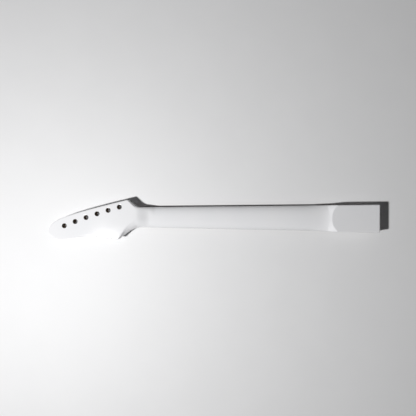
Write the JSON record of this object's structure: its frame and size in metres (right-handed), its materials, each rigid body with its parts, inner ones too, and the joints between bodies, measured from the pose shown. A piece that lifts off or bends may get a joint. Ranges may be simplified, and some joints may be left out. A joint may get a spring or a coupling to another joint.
{
  "type": "guitar neck",
  "caption": "Bolt-on electric guitar neck with a white painted back, open tuner holes, square heel, fretted board and a turning truss rod.",
  "frame": {"origin": "middle of the flat heel pad on the neck's back", "axes": "+X along the neck from headstock to heel, +Y to the bass (tuner) side, +Z out of the neck's back"},
  "size_m": [0.6854, 0.0814, 0.0278],
  "materials": {
    "neck_paint": "maple under gloss white paint",
    "fingerboard_wood": "oiled dark rosewood",
    "nut_bone": "polished bone",
    "fret_wire": "polished nickel silver",
    "marker_pearl": "pearly white",
    "rod_steel": "plain steel",
    "block_brass": "milled brass"
  },
  "bodies": {
    "neck": {"neck_blank": "neck_paint", "fingerboard": "fingerboard_wood", "nut": "nut_bone", "truss_bar": "rod_steel", "front_block": "block_brass", "anchor_block": "block_brass", "fret_01": "fret_wire", "fret_02": "fret_wire", "fret_03": "fret_wire", "fret_04": "fret_wire", "fret_05": "fret_wire", "fret_06": "fret_wire", "fret_07": "fret_wire", "fret_08": "fret_wire", "fret_09": "fret_wire", "fret_10": "fret_wire", "fret_11": "fret_wire", "fret_12": "fret_wire", "fret_13": "fret_wire", "fret_14": "fret_wire", "fret_15": "fret_wire", "fret_16": "fret_wire", "fret_17": "fret_wire", "fret_18": "fret_wire", "fret_19": "fret_wire", "fret_20": "fret_wire", "fret_21": "fret_wire", "fret_22": "fret_wire", "fret_23": "fret_wire", "fret_24": "fret_wire", "dot_03": "marker_pearl", "dot_05": "marker_pearl", "dot_07": "marker_pearl", "dot_09": "marker_pearl", "dot_12_bass": "marker_pearl", "dot_12_treble": "marker_pearl", "dot_15": "marker_pearl", "dot_17": "marker_pearl", "dot_19": "marker_pearl", "dot_21": "marker_pearl", "dot_24_bass": "marker_pearl", "dot_24_treble": "marker_pearl", "side_dot_03": "marker_pearl", "side_dot_05": "marker_pearl", "side_dot_07": "marker_pearl", "side_dot_09": "marker_pearl", "side_dot_12_near": "marker_pearl", "side_dot_12_far": "marker_pearl", "side_dot_15": "marker_pearl", "side_dot_17": "marker_pearl", "side_dot_19": "marker_pearl", "side_dot_21": "marker_pearl", "side_dot_24_near": "marker_pearl", "side_dot_24_far": "marker_pearl"},
    "rod_assembly": {"truss_rod": "rod_steel", "adjuster_nut": "rod_steel"}
  },
  "joints": [
    {"name": "truss_rod_turn", "type": "hinge", "parent": "neck", "child": "rod_assembly", "pos_m": [-0.3424, 0, -0.0131], "axis": [1, 0, 0], "range_deg": [-450, 450]}
  ]
}
